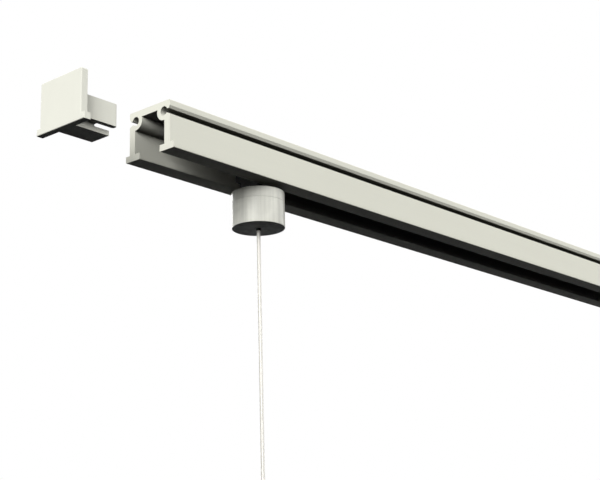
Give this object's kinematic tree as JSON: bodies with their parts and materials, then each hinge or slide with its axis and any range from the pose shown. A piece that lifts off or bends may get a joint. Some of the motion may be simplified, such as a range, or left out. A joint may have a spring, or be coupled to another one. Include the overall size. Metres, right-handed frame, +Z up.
{
  "type": "ceiling track with a cable hanger",
  "caption": "Downward-open ceiling track profile with push-in end caps and a round sliding hanger that carries a steel cable with an adjustable hook.",
  "frame": {"origin": "middle of the track's top face, where it lies against the ceiling", "axes": "+X along the track away from the pulled-out end cap, +Z up into the ceiling"},
  "size_m": [0.4425, 0.0261, 0.175],
  "materials": {
    "track_coating": "extruded, with a satin off-white coating",
    "cap_plastic": "moulded off-white plastic",
    "black_steel": "black oxide",
    "satin_metal": "turned and satin brushed",
    "bright_steel": "bright plated",
    "cable_wire": "stranded stainless wire"
  },
  "bodies": {
    "track": {"track_profile": "track_coating"},
    "near_cap": {"near_end_cap": "cap_plastic"},
    "far_cap": {"far_end_cap": "cap_plastic"},
    "hanger": {"slide_block": "black_steel", "neck_bush": "black_steel", "holder_base": "satin_metal", "hanger_screw": "bright_steel"},
    "cable_line": {"cable": "cable_wire", "cable_stop": "bright_steel", "cable_end_sleeve": "bright_steel"},
    "cup": {"holder_cup": "satin_metal"},
    "grip": {"grip_housing": "satin_metal", "grip_nut": "satin_metal", "plunger_spring": "bright_steel"},
    "plunger": {"grip_plunger": "bright_steel", "grip_balls": "bright_steel"},
    "hook": {"hook_strap": "bright_steel"}
  },
  "joints": [
    {"name": "near_cap_slide", "type": "slide", "parent": "track", "child": "near_cap", "axis": [1, 0, 0], "range_m": [0, 0.0371]},
    {"name": "far_cap_slide", "type": "slide", "parent": "track", "child": "far_cap", "axis": [1, 0, 0], "range_m": [0, 0.0371]},
    {"name": "hanger_slide", "type": "slide", "parent": "track", "child": "hanger", "axis": [1, 0, 0], "range_m": [-0.0347, 0.3231]},
    {"name": "cup_drop", "type": "slide", "parent": "hanger", "child": "cable_line", "axis": [0, 0, -1], "range_m": [0, 0.004]},
    {"name": "cup_turn", "type": "hinge", "parent": "cable_line", "child": "cup", "pos_m": [-0.1442, 0, -0.0292], "axis": [0, 0, -1], "range_deg": [0, 1440]},
    {"name": "grip_slide", "type": "slide", "parent": "cable_line", "child": "grip", "axis": [0, 0, 1], "range_m": [-0.0134, 0.096]},
    {"name": "plunger_press", "type": "slide", "parent": "grip", "child": "plunger", "axis": [0, 0, -1], "range_m": [0, 0.0018], "stiffness_N_per_m": 400, "springref_m": -0.001, "deforming": ["plunger_spring"]},
    {"name": "hook_swivel", "type": "hinge", "parent": "grip", "child": "hook", "pos_m": [-0.1442, 0, -0.1532], "axis": [0, 0, 1], "continuous": true}
  ],
  "couplings": [
    {"joint": "cup_drop", "follows": "cup_turn", "m_per_rad": 0.00015915}
  ]
}
